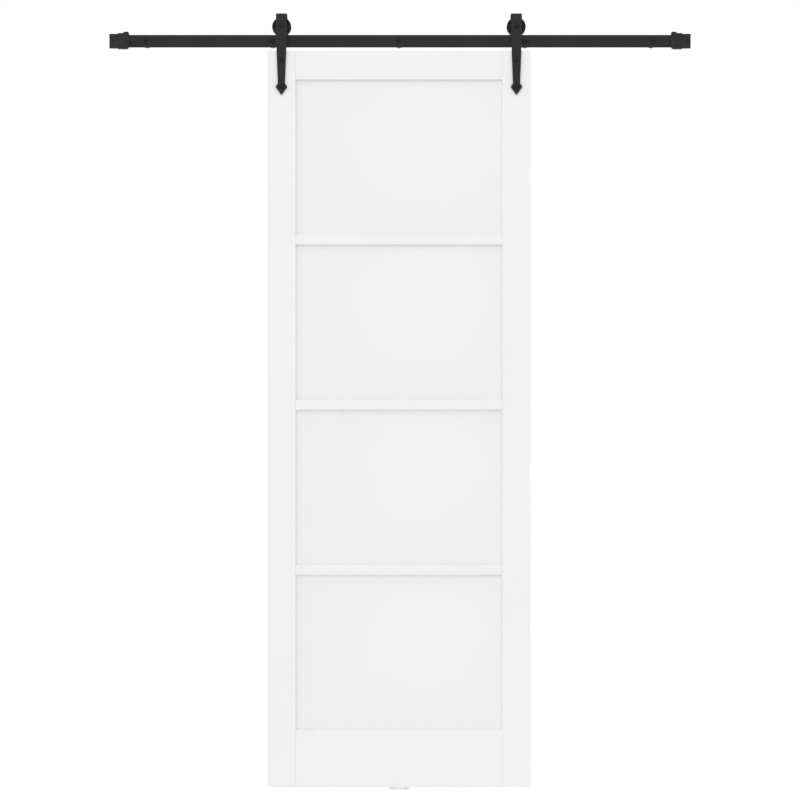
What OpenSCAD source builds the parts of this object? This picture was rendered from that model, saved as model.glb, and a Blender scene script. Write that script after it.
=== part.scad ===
// Sliding barn door: a framed leaf with four glass panes, hung by two arrow-tailed strap hangers
// whose grooved wheels roll on a flat wall track.
//
// Millimetres. The origin is on the wall plane, on the axis of the track's centre bolt.
// +X runs along the track, +Y goes into the wall, +Z is up, so the room is on the -Y side.

/* [Door leaf] */
// Width of the leaf
leaf_w = 750; // [550:1:1000]
// Height of the leaf
leaf_h = 2100; // [1600:1:2600]
// Thickness of the leaf
leaf_t = 35; // [32:1:44]
// Width of each stile
stile_w = 80; // [65:1:110]
// Height of the top rail
top_rail_h = 82; // [66:1:140]
// Height of the bottom rail
bottom_rail_h = 163; // [120:1:240]
// Height of each glazing bar between two panes
glazing_bar_h = 28; // [24:1:60]
// Depth from the front face of the leaf to the glass
recess = 9; // [7:1:14]
// Width of the rebate that holds the glass and its bead
rebate_w = 8; // [6:1:9]
// Thickness of the glass
glass_t = 5; // [4:1:8]
// Width of the V line where a rail meets a stile, measured on the rail
joint_chamfer = 0.8; // [0.3:0.1:1.5]
// Height of the fine scribed line above the top pane
scribe_up = 5; // [4:1:20]

/* [Glazing] */
// Gap round each pane's edge inside its rebate
pane_gap = 1.5; // [1:0.5:2.5]
// How far the beads stop short of the back face of the leaf
bead_back = 2; // [1:0.5:4]
// Chamfer on the visible edge of each bead
bead_chamfer = 3; // [1:0.5:4]
// Length of each setting block under a pane
block_l = 50; // [30:1:80]
// Distance from each side of the opening to the middle of a setting block
block_from_side = 118; // [60:1:120]

/* [Dowels] */
// Diameter of the dowels that join rails to stiles
dowel_d = 8; // [6:1:9]
// Length of dowel inside each rail
dowel_in_rail = 30; // [20:1:45]
// Distance from a rail's edge to the nearest dowel axis
dowel_edge = 18; // [15:1:24]

/* [Track] */
// Length of the flat track bar
track_l = 1650; // [1300:1:2200]
// How far the bar, with its stops, sits to the right of the centre bolt
track_shift = 3; // [-10:0.5:10]
// Height of the track bar
track_h = 35; // [28:1:45]
// Thickness of the track bar
track_t = 6; // [5:1:8]
// Distance from each end of the bar to the first wall bolt
fixing_inset = 100; // [85:1:160]
// Free height between the bar and the top of the leaf
leaf_gap = 12; // [9:1:20]
// Free depth between the back of the leaf and the wall
wall_gap = 20; // [9:1:25]

/* [Wall fixing] */
// Outer diameter of the wall spacers
spacer_d = 26; // [20:1:28]
// Diameter of the countersunk bolt heads
lag_head_d = 16; // [14:1:18]
// Diameter of the bolts' plain shank
lag_shank_d = 7; // [6:0.5:7.5]
// Diameter of the thread that enters the wall
lag_thread_d = 8; // [7.5:0.5:8]
// Length of full thread beyond the wall plane
lag_thread_l = 45; // [30:1:80]

/* [Hanger] */
// Thickness of the hanger strap
strap_t = 5; // [4:0.5:6]
// Width of the strap where it passes the wheel and the track
strap_w = 31; // [26:1:36]
// Width of the strap at the top of the leaf
neck_w = 28; // [24:1:30]
// Width of the strap where the arrow head starts
tail_w = 20; // [18:0.5:24]
// Width across the arrow head's barbs
arrow_w = 33; // [28:0.5:40]
// Free width between the strap's front and back legs
leg_gap = 28; // [24:1:34]
// Inner radius of the two bends over the wheel
bend_r = 6; // [4:1:8]
// Free height between the wheel and the inside of the strap's top
top_clear = 5.4; // [3:0.2:10]
// Depth of the upper leaf bolt below the top of the leaf
upper_bolt_drop = 28; // [24:1:40]
// Depth of the lower leaf bolt, and of the arrow's barbs, below the top of the leaf
lower_bolt_drop = 104; // [80:1:140]
// Depth of the arrow's tip below its barbs
arrow_tip = 22.5; // [15:0.5:40]
// Height of the arrow head's shoulders above its barbs
arrow_shoulder = 11; // [8:0.5:20]

/* [Bolts] */
// Diameter of the hanger bolts
bolt_d = 8; // [6:1:8]
// Diameter of their domed heads
bolt_head_d = 16; // [13:1:18]
// Height of their domed heads
bolt_head_h = 4.4; // [3:0.1:6]
// Height of the lock nuts on the axles
lock_nut_h = 8; // [6:0.5:8]
// Height of the nuts behind the leaf
thin_nut_h = 5; // [4:0.5:6]
// Width of both nuts across their flats
nut_af = 13; // [11:1:14]
// Diameter of the washers behind the leaf
washer_d = 24; // [18:1:30]
// Thickness of the washers
washer_t = 1.6; // [1:0.1:2.5]

/* [Wheel] */
// Radius of the wheel's tread, at the bottom of its groove
tread_r = 23; // [20:0.5:30]
// Depth of the groove that straddles the bar
groove_depth = 4; // [3:0.5:6]
// Overall width of the wheel
wheel_w = 18; // [16:1:20]
// Outer diameter of the ball bearing
bearing_od = 22; // [22:1:24]
// Width of the ball bearing
bearing_w = 7; // [7:1:8]
// Outer diameter of the bushes beside the bearing
bush_d = 12; // [11:1:12]

/* [End stops] */
// Length of the stop's bare outer sleeve
stop_outer_l = 24; // [18:1:30]
// Length of the collar round the sleeve's inner end
stop_collar_l = 17; // [12:1:24]
// Length of the rubber bumper
bumper_l = 13.5; // [10:0.5:20]
// Wall of the sleeve and of its closed end
stop_wall = 2.7; // [1.5:0.1:3]
// Wall of the collar round the sleeve
collar_wall = 2; // [1:0.5:2.5]
// Height of the bumper above the bar
bumper_up = 8; // [5:0.5:9]
// Depth of the bumper, front to back
bumper_depth = 20; // [16:1:22]
// How far the bumper's domed nose stands out towards the wheel
nose_l = 8.5; // [4:0.5:10]

/* [Floor guide] */
// Free height between the leaf and the floor
floor_gap = 8; // [6:1:15]
// Depth of the groove under the leaf
leaf_groove_d = 15; // [12:1:20]
// Width of the groove under the leaf
leaf_groove_w = 7; // [6:1:9]
// Thickness of the guide's blade
blade_t = 4; // [3:0.5:5]
// Length of the guide
guide_l = 60; // [50:1:90]
// Depth of the guide's base, front to back
guide_w = 30; // [28:1:32]
// Thickness of the guide's base
guide_t = 3; // [2.5:0.5:4]
// Spacing of the guide's screws along it
guide_screw_x = 40; // [30:1:70]
// Spacing of the guide's screws across it
guide_screw_y = 17; // [15:1:19]

/* [Hidden] */
$fn = 64;

BLACK = "#2b2b2b";
NYLON = "#1c1c1c";
RUBBER = "#202020";
STEEL = "#b4b6b8";
PAINT = "#f2f1ef";
GLASS = "#eef0ef";
TIMBER = "#d8bd92";

LEFT = -1;
RIGHT = 1;
SIDES = [LEFT, RIGHT];
PANES = 4;
FIXINGS = 5;
CUT = 1; // how far a cutting body runs past the face it opens

// Clearances
slide_fit = 0.1;    // sleeve or bumper round the bar
bolt_clear = 0.25;  // bolt in its hole
turn_clear = 0.03;  // shaft in the bearing or the nut
dowel_clear = 0.05; // dowel in its bore
race_clear = 0.1;   // ball in its race
roll_gap = 0.05;    // tread above the bar
disc_gap = 3;       // anti-jump disc below the bar
blade_gap = 3;      // guide blade below the top of its groove

// Depths, from the wall plane towards the room
spacer_l = leaf_t + wall_gap - leg_gap / 2 - track_t / 2;
track_back = -spacer_l;
track_front = track_back - track_t;
track_mid = track_back - track_t / 2;
leaf_front = track_mid - leg_gap / 2;
leaf_back = leaf_front + leaf_t;
leaf_mid = (leaf_front + leaf_back) / 2;
strap_front = leaf_front - strap_t;
glass_front = leaf_front + recess;
glass_back = glass_front + glass_t;

// Heights
axle_z = track_h / 2 + tread_r + roll_gap;
flange_r = tread_r + groove_depth;
strap_top = axle_z + flange_r + top_clear + strap_t;
leaf_top = -track_h / 2 - leaf_gap;
leaf_bottom = leaf_top - leaf_h;
floor_z = leaf_bottom - floor_gap;

// Leaf layout
hanger_x = leaf_w / 2 - stile_w / 2;
open_w = leaf_w - 2 * stile_w;
open_h = (leaf_h - top_rail_h - bottom_rail_h - (PANES - 1) * glazing_bar_h) / PANES;
function open_top(i) = leaf_top - top_rail_h - i * (open_h + glazing_bar_h);
function open_mid(i) = open_top(i) - open_h / 2;
function open_bottom(i) = open_top(i) - open_h;
bottom_rail_top = open_bottom(PANES - 1);
bar_mids = [for (i = [0 : PANES - 2]) open_bottom(i) - glazing_bar_h / 2];
top_dowels = [leaf_top - dowel_edge, leaf_top - top_rail_h + dowel_edge];
low_dowel = leaf_bottom + leaf_groove_d + dowel_edge;
high_dowel = bottom_rail_top - dowel_edge;
bottom_dowels = [low_dowel, (low_dowel + high_dowel) / 2, high_dowel];
dowel_zs = concat(top_dowels, bar_mids, bottom_dowels);
dowel_web = 5.75; // timber left between a dowel's end and the hanger bolts
bolt_hole_r = bolt_d / 2 + bolt_clear;
dowel_in_stile = stile_w / 2 - bolt_hole_r - dowel_web;
bolt_zs = [leaf_top - upper_bolt_drop, leaf_top - lower_bolt_drop];
scribe_w = 1;
scribe_depth = 0.6;

// Track layout
fixing_pitch = (track_l - 2 * fixing_inset) / (FIXINGS - 1);
fixing_xs = [for (i = [0 : FIXINGS - 1]) (i - (FIXINGS - 1) / 2) * fixing_pitch];
head_sink = 0.5; // bolt heads sit this far below the bar's face
lag_hole_r = lag_thread_d / 2 + bolt_clear;
lag_head_r = lag_head_d / 2;
lag_tip_l = 6;
lag_point_r = 0.6;
lag_socket_af = 6;
lag_socket_d = 3;
end_cap = 5; // closed end of each stop beyond the bar
stop_end_x = track_l / 2 + end_cap;
collar_out_x = stop_end_x - stop_outer_l;
collar_in_x = collar_out_x - stop_collar_l;
bumper_in_x = collar_in_x - bumper_l;
bumper_down = 4;   // bumper below the bar
bumper_cut = 5;    // chamfer on its lower inner corner
bumper_round = 1.5; // radius of its upper inner corner
nose_r = 13;       // radius of its domed nose
stop_screw_in = 10; // clamping screw in from the stop's outer end
stop_screw_x = stop_end_x - stop_screw_in;
stop_screw_d = 5;
stop_screw_head_d = 8;
stop_screw_head_h = 1.5;
stop_screw_bevel = 0.6;
stop_slot_w = 1.4;
stop_slot_d = 0.8;

// Hanger layout
shoulder_up = 8; // the strap's taper starts this far above the leaf
shoulder_z = leaf_top + shoulder_up;
shoulder_rise = 4;
bend_straight = 2; // straight part of each leg that is drawn with the bends
bolt_socket_af = 5;
bolt_socket_d = 2.6;
bolt_end = 1; // bolt beyond its nut
axle_l = leg_gap + 2 * strap_t + lock_nut_h + bolt_end;
leaf_bolt_l = strap_t + leaf_t + washer_t + thin_nut_h + bolt_end;
nut_crown = 0.4; // nut's round face wider than its flats

// Wheel and bearing layout
tread_clear = 0.6; // bar to each side of the groove
tread_half = track_t / 2 + tread_clear;
groove_flare = 1;
flange_round = 1.2;
web_depth = 2;
web_in_r = 15;
web_wall = 2.5; // nylon left under the tread beside each web
web_out_r = tread_r - web_wall;
shoulder_lip = 1.5; // shoulder inside the bearing's rim
shoulder_r = bearing_od / 2 - shoulder_lip;
shoulder_w = 1.2;
circlip_t = 1;
circlip_w = 2.2;
circlip_groove = 1;
circlip_gap_a = 40;
inner_ring_wall = 2;
outer_ring_wall = 1.8;
inner_ring_r = bolt_d / 2 + inner_ring_wall;
outer_ring_r = bearing_od / 2 - outer_ring_wall;
ball_r = 2;
ball_count = 7;
ball_pitch_r = (inner_ring_r + outer_ring_r) / 2;
shield_t = 0.4;
shield_gap = 0.3;

// Countersunk screws
screw_neck_in = 0.3; // neck thinner than the thread
screw_tip_l = 3;
screw_point_r = 0.4;

// Anti-jump discs
disc_r = 12;
disc_t = leaf_gap - disc_gap;
disc_in = 1; // disc's rim behind the front of the leaf
disc_y = leaf_front + disc_r + disc_in;
disc_screw_r = 2;
disc_screw_head_r = 4.2;
disc_screw_web = 2.75; // timber left between the screw's hole and the upper leaf bolt
disc_screw_l = disc_t + upper_bolt_drop - bolt_hole_r - disc_screw_web;

// Floor guide
blade_h = floor_gap - guide_t + leaf_groove_d - blade_gap;
guide_screw_r = 2;
guide_screw_head_r = 3.8;
guide_screw_l = 22;
guide_points = [
    for (x = SIDES, y = SIDES) [x * guide_screw_x / 2, leaf_mid + y * guide_screw_y / 2]
];

// ---- Helpers ----

// A box between two corners
module span(low, high) {
    translate(low) cube(high - low);
}

// Stands what is drawn along +Z on a point, pointing into the wall
module into_wall(x, y, z) {
    translate([x, y, z]) rotate([-90, 0, 0]) children();
}

// Lays what is drawn along +Z on a point, pointing along +X
module along_track(x, y, z) {
    translate([x, y, z]) rotate([0, 90, 0]) children();
}

// A tube on +Z
module tube(outer_r, inner_r, length) {
    difference() {
        cylinder(r = outer_r, h = length);
        translate([0, 0, -CUT]) cylinder(r = inner_r, h = length + 2 * CUT);
    }
}

// A hexagonal prism on +Z, measured across its flats
module hexagon(af, length) {
    cylinder(r = af / 2 / cos(30), h = length, $fn = 6);
}

// A domed bolt on +Z: its head ends at 0 and its shank runs on from there
module domed_bolt(length) {
    dome_r = (pow(bolt_head_d / 2, 2) + pow(bolt_head_h, 2)) / (2 * bolt_head_h);
    difference() {
        union() {
            intersection() {
                translate([0, 0, dome_r - bolt_head_h]) sphere(r = dome_r);
                translate([0, 0, -bolt_head_h]) cylinder(r = bolt_head_d / 2, h = bolt_head_h);
            }
            cylinder(r = bolt_d / 2 - turn_clear, h = length);
        }
        translate([0, 0, -bolt_head_h - CUT]) hexagon(bolt_socket_af, bolt_socket_d + CUT);
    }
}

// A nut on +Z
module nut(height) {
    crown_r = nut_af / 2 + nut_crown;
    difference() {
        intersection() {
            hexagon(nut_af, height);
            cylinder(r1 = crown_r + height, r2 = crown_r, h = height);
        }
        translate([0, 0, -CUT]) cylinder(r = bolt_d / 2, h = height + 2 * CUT);
    }
}

// A countersunk screw on +Z, its head's face at 0: a plain neck runs through the part that it holds,
// and the full thread starts beyond it
module countersunk(head_r, neck_r, held_t, thread_r, thread_l, tip_l) {
    head_h = head_r - neck_r;
    cylinder(r1 = head_r, r2 = neck_r, h = head_h);
    cylinder(r = neck_r, h = held_t);
    translate([0, 0, held_t]) cylinder(r = thread_r, h = thread_l);
    translate([0, 0, held_t + thread_l]) cylinder(r1 = thread_r, r2 = screw_point_r, h = tip_l);
}

// A 90 degree countersink that opens at 0, cut a little above it as well
module countersink(mouth_r) {
    translate([0, 0, -CUT]) cylinder(r1 = mouth_r + CUT, r2 = 0, h = mouth_r + CUT);
}

// ---- Wall track ----

module track_bar() color(BLACK) difference() {
    span([track_shift - track_l / 2, track_front, -track_h / 2],
         [track_shift + track_l / 2, track_back, track_h / 2]);
    for (x = fixing_xs) {
        into_wall(x, track_front - CUT, 0) cylinder(r = lag_hole_r, h = track_t + 2 * CUT);
        into_wall(x, track_front, 0) countersink(lag_head_r + head_sink + slide_fit);
    }
}

module wall_spacers() color(BLACK) {
    for (x = fixing_xs) into_wall(x, track_back, 0) tube(spacer_d / 2, lag_hole_r, spacer_l);
}

module wall_bolts() color(BLACK) {
    for (x = fixing_xs) into_wall(x, track_front + head_sink, 0) wall_bolt();
}

module wall_bolt() {
    head_h = lag_head_r - lag_shank_d / 2;
    shank_l = track_t + spacer_l - head_sink;
    difference() {
        union() {
            cylinder(r1 = lag_head_r, r2 = lag_shank_d / 2, h = head_h);
            cylinder(r = lag_shank_d / 2, h = shank_l);
            translate([0, 0, shank_l]) cylinder(r = lag_thread_d / 2, h = lag_thread_l);
            translate([0, 0, shank_l + lag_thread_l])
                cylinder(r1 = lag_thread_d / 2, r2 = lag_point_r, h = lag_tip_l);
        }
        translate([0, 0, -CUT]) hexagon(lag_socket_af, lag_socket_d + CUT);
    }
}

// ---- End stops ----

// The bar's section, grown on every side, from one distance along the track to another
module bar_section(side, x_in, x_out, grow) {
    low = track_shift + min(side * x_in, side * x_out);
    high = track_shift + max(side * x_in, side * x_out);
    span([low, track_front - grow, -track_h / 2 - grow], [high, track_back + grow, track_h / 2 + grow]);
}

module stop_sleeve(side) color(BLACK) difference() {
    bar_section(side, collar_in_x, stop_end_x, stop_wall);
    bar_section(side, collar_in_x - CUT, track_l / 2 + slide_fit, slide_fit);
    into_wall(track_shift + side * stop_screw_x, track_front - stop_wall - CUT, 0)
        cylinder(r = stop_screw_d / 2 + slide_fit, h = stop_wall + CUT);
}

module stop_collar(side) color(BLACK) difference() {
    bar_section(side, collar_in_x, collar_out_x, stop_wall + collar_wall);
    bar_section(side, collar_in_x - CUT, collar_out_x + CUT, stop_wall);
}

// The bumper's outline, drawn with its inner face at 0 and its outer face at bumper_l
module bumper_outline() {
    bottom = -track_h / 2 - bumper_down;
    top = track_h / 2 + bumper_up;
    polygon([
        [bumper_cut, bottom], [bumper_l, bottom], [bumper_l, top], [bumper_round, top],
        [0, top - bumper_round], [0, bottom + bumper_cut],
    ]);
    translate([bumper_round, top - bumper_round]) circle(r = bumper_round);
}

// The part of a sphere that stands out of the bumper's inner face, no deeper than the bumper
module bumper_nose() intersection() {
    translate([nose_r - nose_l, 0, 0]) sphere(r = nose_r);
    span([-nose_l, -bumper_depth / 2, -nose_r], [bumper_l / 2, bumper_depth / 2, nose_r]);
}

module stop_bumper(side) color(RUBBER) difference() {
    translate([track_shift + side * bumper_in_x, track_mid, 0]) mirror([side == LEFT ? 1 : 0, 0, 0]) {
        translate([0, bumper_depth / 2, 0])
            rotate([90, 0, 0]) linear_extrude(bumper_depth) bumper_outline();
        bumper_nose();
    }
    bar_section(side, bumper_in_x - nose_l - CUT, collar_in_x + CUT, slide_fit);
}

module stop_screws() color(STEEL) {
    for (side = SIDES)
        into_wall(track_shift + side * stop_screw_x, track_front - stop_wall, 0) stop_screw();
}

module stop_screw() {
    head_r = stop_screw_head_d / 2;
    difference() {
        union() {
            translate([0, 0, -stop_screw_head_h])
                cylinder(r1 = head_r - stop_screw_bevel, r2 = head_r, h = stop_screw_bevel);
            translate([0, 0, stop_screw_bevel - stop_screw_head_h])
                cylinder(r = head_r, h = stop_screw_head_h - stop_screw_bevel);
            cylinder(r = stop_screw_d / 2, h = stop_wall);
        }
        translate([-head_r - CUT, -stop_slot_w / 2, -stop_screw_head_h - CUT])
            cube([2 * (head_r + CUT), stop_slot_w, stop_slot_d + CUT]);
    }
}

// ---- Floor guide ----

module floor_guide() color(PAINT) difference() {
    union() {
        span([-guide_l / 2, leaf_mid - guide_w / 2, floor_z],
             [guide_l / 2, leaf_mid + guide_w / 2, floor_z + guide_t]);
        span([-guide_l / 2, leaf_mid - blade_t / 2, floor_z],
             [guide_l / 2, leaf_mid + blade_t / 2, floor_z + guide_t + blade_h]);
    }
    for (p = guide_points) translate([p[0], p[1], floor_z]) {
        translate([0, 0, guide_t]) mirror([0, 0, 1]) countersink(guide_screw_head_r + slide_fit);
        translate([0, 0, -CUT]) cylinder(r = guide_screw_r + slide_fit, h = guide_t + 2 * CUT);
    }
}

module floor_guide_screws() color(PAINT) {
    for (p = guide_points)
        translate([p[0], p[1], floor_z + guide_t]) mirror([0, 0, 1])
            countersunk(guide_screw_head_r, guide_screw_r - screw_neck_in, guide_t, guide_screw_r,
                        guide_screw_l, screw_tip_l);
}

// ---- Door leaf ----

// The bores that the dowels sit in, through every joint between a rail and a stile
module dowel_bores() {
    for (side = SIDES, z = dowel_zs)
        along_track(side * open_w / 2 + (side == LEFT ? -dowel_in_stile : -dowel_in_rail), leaf_mid, z)
            cylinder(r = dowel_d / 2 + dowel_clear, h = dowel_in_stile + dowel_in_rail);
}

// The rebates behind the front lips, one pocket to each pane
module glass_rebates() {
    for (i = [0 : PANES - 1])
        span([-open_w / 2 - rebate_w, glass_front, open_bottom(i) - rebate_w],
             [open_w / 2 + rebate_w, leaf_back + CUT, open_top(i) + rebate_w]);
}

module floor_groove() {
    span([-leaf_w / 2 - CUT, leaf_mid - leaf_groove_w / 2, leaf_bottom - CUT],
         [leaf_w / 2 + CUT, leaf_mid + leaf_groove_w / 2, leaf_bottom + leaf_groove_d]);
}

module stile(side) color(PAINT) difference() {
    span([side == LEFT ? -leaf_w / 2 : open_w / 2, leaf_front, leaf_bottom],
         [side == LEFT ? -open_w / 2 : leaf_w / 2, leaf_back, leaf_top]);
    glass_rebates();
    floor_groove();
    dowel_bores();
    for (z = bolt_zs)
        into_wall(side * hanger_x, leaf_front - CUT, z) cylinder(r = bolt_hole_r, h = leaf_t + 2 * CUT);
    translate([side * hanger_x, disc_y, leaf_top - (disc_screw_l - disc_t)])
        cylinder(r = disc_screw_r, h = disc_screw_l);
}

// A rail between the stiles, its ends chamfered front and back so each joint shows a V line
module rail(low_z, high_z) color(PAINT) difference() {
    half = open_w / 2;
    translate([0, 0, low_z]) linear_extrude(high_z - low_z) polygon([
        [-half + joint_chamfer, leaf_front], [half - joint_chamfer, leaf_front],
        [half, leaf_front + joint_chamfer], [half, leaf_back - joint_chamfer],
        [half - joint_chamfer, leaf_back], [-half + joint_chamfer, leaf_back],
        [-half, leaf_back - joint_chamfer], [-half, leaf_front + joint_chamfer],
    ]);
    glass_rebates();
    dowel_bores();
    floor_groove();
    span([-half - CUT, leaf_front - CUT, open_top(0) + scribe_up],
         [half + CUT, leaf_front + scribe_depth, open_top(0) + scribe_up + scribe_w]);
}

module top_rail() {
    rail(open_top(0), leaf_top);
}

module glazing_bar(number) {
    rail(open_top(number), open_bottom(number - 1));
}

module bottom_rail() {
    rail(leaf_bottom, bottom_rail_top);
}

module rail_dowels() color(TIMBER) {
    for (side = SIDES, z = dowel_zs)
        along_track(side * open_w / 2 + (side == LEFT ? -dowel_in_stile : -dowel_in_rail), leaf_mid, z)
            cylinder(r = dowel_d / 2, h = dowel_in_stile + dowel_in_rail);
}

module glass_pane(number) color(GLASS) {
    reach = rebate_w - pane_gap;
    span([-open_w / 2 - reach, glass_front, open_bottom(number - 1) - reach],
         [open_w / 2 + reach, glass_back, open_top(number - 1) + reach]);
}

// A bead's section: x runs from the opening's edge into the rebate, y towards the back of the leaf
module bead_section() {
    depth = leaf_back - bead_back - glass_back;
    polygon([
        [0, 0], [rebate_w, 0], [rebate_w, depth], [bead_chamfer, depth], [0, depth - bead_chamfer],
    ]);
}

module beads_upright() color(PAINT) {
    for (i = [0 : PANES - 1], side = SIDES)
        translate([side * open_w / 2, glass_back, open_bottom(i) - rebate_w])
            mirror([side == LEFT ? 1 : 0, 0, 0])
                linear_extrude(open_h + 2 * rebate_w) bead_section();
}

module beads_level() color(PAINT) {
    for (i = [0 : PANES - 1], up = [0, 1])
        translate([-open_w / 2, glass_back, up == 1 ? open_top(i) : open_bottom(i)])
            mirror([0, 0, 1 - up])
                rotate([90, 0, 90]) linear_extrude(open_w) mirror([1, -1]) bead_section();
}

module setting_blocks() color(NYLON) {
    for (i = [0 : PANES - 1], side = SIDES) {
        mid_x = side * (open_w / 2 - block_from_side);
        span([mid_x - block_l / 2, glass_front, open_bottom(i) - rebate_w],
             [mid_x + block_l / 2, glass_back, open_bottom(i) - rebate_w + pane_gap]);
    }
}

// ---- Hangers ----

// The strap's front leg, seen from the room, from the bend down to the arrow's tip
module strap_outline(top) {
    barb_z = leaf_top - lower_bolt_drop;
    right = [
        [strap_w / 2, top], [strap_w / 2, shoulder_z + shoulder_rise], [neck_w / 2, shoulder_z],
        [tail_w / 2, barb_z + arrow_shoulder], [arrow_w / 2, barb_z],
    ];
    left = [for (i = [len(right) - 1 : -1 : 0]) [-right[i][0], right[i][1]]];
    polygon(concat(right, [[0, barb_z - arrow_tip]], left));
}

// A rectangle standing on 0 whose two upper corners are round
module arch(width, height, corner_r) {
    translate([-width / 2, 0]) square([width, height - corner_r]);
    translate([corner_r - width / 2, 0]) square([width - 2 * corner_r, height]);
    intersection() {
        translate([-width / 2, 0]) square([width, height]);
        for (side = SIDES)
            translate([side * (width / 2 - corner_r), height - corner_r]) circle(r = corner_r);
    }
}

module hanger(side) color(BLACK) {
    bend_h = bend_r + strap_t + bend_straight;
    bend_z = strap_top - bend_h;
    translate([side * hanger_x, 0, 0]) difference() {
        union() {
            translate([0, leaf_front, 0]) rotate([90, 0, 0]) linear_extrude(strap_t) strap_outline(bend_z);
            translate([-strap_w / 2, track_mid, bend_z]) rotate([90, 0, 90]) linear_extrude(strap_w)
                difference() {
                    arch(leg_gap + 2 * strap_t, bend_h, bend_r + strap_t);
                    translate([0, -CUT]) arch(leg_gap, bend_h - strap_t + CUT, bend_r);
                }
            translate([0, track_mid + leg_gap / 2 + strap_t, 0]) rotate([90, 0, 0])
                linear_extrude(strap_t) {
                    translate([-strap_w / 2, axle_z]) square([strap_w, bend_z - axle_z]);
                    translate([0, axle_z]) circle(r = strap_w / 2);
                }
        }
        into_wall(0, strap_front - CUT, axle_z)
            cylinder(r = bolt_hole_r, h = leg_gap + 2 * strap_t + 2 * CUT);
        for (z = bolt_zs)
            into_wall(0, strap_front - CUT, z) cylinder(r = bolt_hole_r, h = strap_t + 2 * CUT);
    }
}

module axle_bolt(side) color(BLACK) {
    into_wall(side * hanger_x, strap_front, axle_z) domed_bolt(axle_l);
}

module axle_nut(side) color(STEEL) {
    into_wall(side * hanger_x, track_mid + leg_gap / 2 + strap_t, axle_z) nut(lock_nut_h);
}

module axle_bushes(side) color(STEEL) {
    bush_l = (leg_gap - bearing_w) / 2;
    for (y = [track_mid - leg_gap / 2, track_mid + bearing_w / 2])
        into_wall(side * hanger_x, y, axle_z) tube(bush_d / 2, bolt_d / 2 + bolt_clear / 2, bush_l);
}

module leaf_bolts() color(BLACK) {
    for (side = SIDES, z = bolt_zs)
        into_wall(side * hanger_x, strap_front, z) domed_bolt(leaf_bolt_l);
}

module leaf_washers() color(STEEL) {
    for (side = SIDES, z = bolt_zs)
        into_wall(side * hanger_x, leaf_back, z) tube(washer_d / 2, bolt_hole_r, washer_t);
}

module leaf_nuts() color(STEEL) {
    for (side = SIDES, z = bolt_zs)
        into_wall(side * hanger_x, leaf_back + washer_t, z) nut(thin_nut_h);
}

module anti_jump_disc(side) color(NYLON) {
    translate([side * hanger_x, disc_y, leaf_top]) difference() {
        cylinder(r = disc_r, h = disc_t);
        translate([0, 0, -CUT]) cylinder(r = disc_screw_r + slide_fit, h = disc_t + 2 * CUT);
        translate([0, 0, disc_t]) mirror([0, 0, 1]) countersink(disc_screw_head_r + slide_fit);
    }
}

module anti_jump_screws() color(STEEL) {
    for (side = SIDES)
        translate([side * hanger_x, disc_y, leaf_top + disc_t]) mirror([0, 0, 1])
            countersunk(disc_screw_head_r, disc_screw_r - screw_neck_in, disc_t, disc_screw_r - turn_clear,
                        disc_screw_l - disc_t - screw_tip_l, screw_tip_l);
}

// ---- Wheels and their bearings, each drawn on +Z about its own middle ----

module at_axle(side) {
    into_wall(side * hanger_x, track_mid, axle_z) children();
}

module wheel(side) color(NYLON) at_axle(side) rotate_extrude() {
    half = wheel_w / 2;
    seat = bearing_w / 2;
    difference() {
        translate([shoulder_r, -half]) square([flange_r - shoulder_r, wheel_w]);
        // the bearing's seat, open towards the wall, with the circlip's groove behind the bearing
        translate([0, -seat]) square([bearing_od / 2, seat + half + CUT]);
        translate([0, seat]) square([bearing_od / 2 + circlip_groove, circlip_t + slide_fit]);
        // the front is relieved outside the shoulder that stops the bearing
        translate([0, -half - CUT]) square([bearing_od / 2, half + CUT - seat - shoulder_w]);
        // the running groove
        polygon([
            [tread_r, -tread_half], [flange_r + CUT, -tread_half - groove_flare * (1 + CUT / groove_depth)],
            [flange_r + CUT, tread_half + groove_flare * (1 + CUT / groove_depth)], [tread_r, tread_half],
        ]);
        for (face = SIDES) {
            // a shallow moulded web on each face
            translate([web_in_r, face * half - web_depth]) square([web_out_r - web_in_r, 2 * web_depth]);
            // the flange's rounded rim
            translate([flange_r - flange_round, face * (half - flange_round)]) difference() {
                translate([0, face == RIGHT ? 0 : -2 * flange_round]) square(2 * flange_round);
                circle(r = flange_round);
            }
        }
    }
}

// The circle that the balls run on, as a ring of the balls' radius and a little more
module race() {
    rotate_extrude() translate([ball_pitch_r, 0]) circle(r = ball_r + race_clear);
}

module bearing_inner(side) color(STEEL) at_axle(side) difference() {
    translate([0, 0, -bearing_w / 2]) tube(inner_ring_r, bolt_d / 2, bearing_w);
    race();
}

module bearing_outer(side) color(STEEL) at_axle(side) difference() {
    translate([0, 0, -bearing_w / 2]) tube(bearing_od / 2, outer_ring_r, bearing_w);
    race();
}

module bearing_balls(side) color(STEEL) at_axle(side) {
    for (i = [0 : ball_count - 1])
        rotate(i * 360 / ball_count) translate([ball_pitch_r, 0, 0]) sphere(r = ball_r);
}

module bearing_shields(side) color(STEEL) at_axle(side) {
    for (z = [-bearing_w / 2 + shield_t, bearing_w / 2 - 2 * shield_t])
        translate([0, 0, z]) tube(outer_ring_r, inner_ring_r + shield_gap, shield_t);
}

module circlip(side) color(STEEL) at_axle(side) translate([0, 0, bearing_w / 2]) difference() {
    ring_r = bearing_od / 2 + circlip_groove;
    tube(ring_r, ring_r - circlip_w, circlip_t);
    translate([0, 0, -CUT]) linear_extrude(circlip_t + 2 * CUT) polygon([
        [0, 0], 2 * ring_r * [cos(90 - circlip_gap_a / 2), sin(90 - circlip_gap_a / 2)],
        2 * ring_r * [cos(90 + circlip_gap_a / 2), sin(90 + circlip_gap_a / 2)],
    ]);
}

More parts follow.
